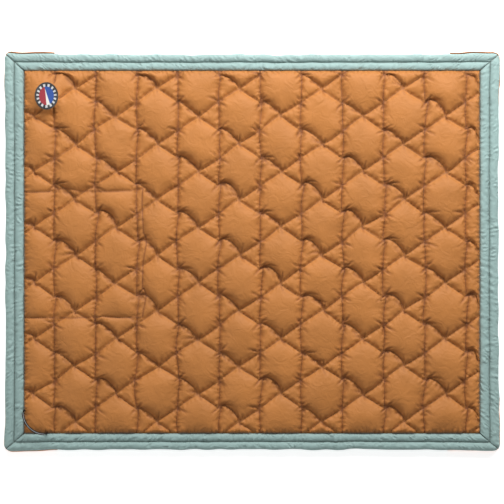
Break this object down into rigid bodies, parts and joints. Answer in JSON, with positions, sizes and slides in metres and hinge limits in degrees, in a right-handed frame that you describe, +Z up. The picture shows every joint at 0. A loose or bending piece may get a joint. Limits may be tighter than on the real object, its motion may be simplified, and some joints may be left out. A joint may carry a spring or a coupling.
{
  "type": "camp blanket",
  "caption": "Quilted synthetic camp blanket with a stuffed border, corner pockets, a zipped stuff pocket on the back, a corner loop and a round sewn badge.",
  "frame": {"origin": "on the ground under the middle of the blanket, which lies face up", "axes": "+X along the long side, +Y along the short side, +Z up out of the rust face"},
  "size_m": [1.744, 1.4, 0.0532],
  "materials": {
    "rust_shell": "soft matt woven nylon with a slight sheen",
    "teal_shell": "soft matt woven nylon with a slight sheen",
    "batt_fill": "loose white polyester fibre",
    "rust_thread": "spun polyester thread",
    "teal_thread": "spun polyester thread",
    "pocket_cloth": "matt woven nylon",
    "label_cloth": "plain satin tape",
    "zip_tape": "knitted zip tape",
    "zip_coil": "nylon coil",
    "zip_metal": "satin plated metal",
    "loop_webbing": "flat woven webbing",
    "tracer_yarn": "pale woven tracer",
    "badge_dark": "close embroidery",
    "badge_pale": "close embroidery",
    "badge_red": "close embroidery",
    "badge_blue": "close embroidery"
  },
  "bodies": {
    "blanket": {"face_panel": "rust_shell", "insulation_batt": "batt_fill", "back_panel": "teal_shell", "border_left": "teal_shell", "border_right": "teal_shell", "border_top": "teal_shell", "border_bottom": "teal_shell", "border_fill_left": "batt_fill", "border_fill_right": "batt_fill", "border_fill_top": "batt_fill", "border_fill_bottom": "batt_fill", "quilting_thread": "rust_thread", "border_thread": "teal_thread", "pocket_thread": "rust_thread", "corner_pocket_top_left": "pocket_cloth", "corner_pocket_top_right": "pocket_cloth", "corner_pocket_bottom_left": "pocket_cloth", "corner_pocket_bottom_right": "pocket_cloth", "stuff_pocket": "pocket_cloth", "care_label": "label_cloth", "zip_tape_pocket_side": "zip_tape", "zip_tape_back_side": "zip_tape", "zip_coil_pocket_side": "zip_coil", "zip_coil_back_side": "zip_coil", "zip_top_stops": "zip_metal", "zip_bottom_stop": "zip_metal", "loop_tails": "loop_webbing", "badge_backing": "badge_dark", "badge_rim": "badge_dark", "badge_band": "badge_pale", "badge_left_field": "badge_red", "badge_right_field": "badge_blue", "badge_peak": "badge_pale"},
    "slider": {"zip_slider": "zip_metal"},
    "puller": {"zip_puller": "zip_metal"},
    "loop": {"corner_loop": "loop_webbing", "loop_tracer": "tracer_yarn"}
  },
  "joints": [
    {"name": "zip_slide", "type": "slide", "parent": "blanket", "child": "slider", "axis": [0, 1, 0], "range_m": [0, 0.385]},
    {"name": "puller_swing", "type": "hinge", "parent": "slider", "child": "puller", "pos_m": [-0.4055, -0.2127, 0.0018], "axis": [-1, 0, 0], "range_deg": [0, 150]},
    {"name": "loop_swing", "type": "hinge", "parent": "blanket", "child": "loop", "pos_m": [-0.797, -0.559, 0.0526], "axis": [-0.7071, 0.7071, 0], "range_deg": [0, 165]}
  ]
}
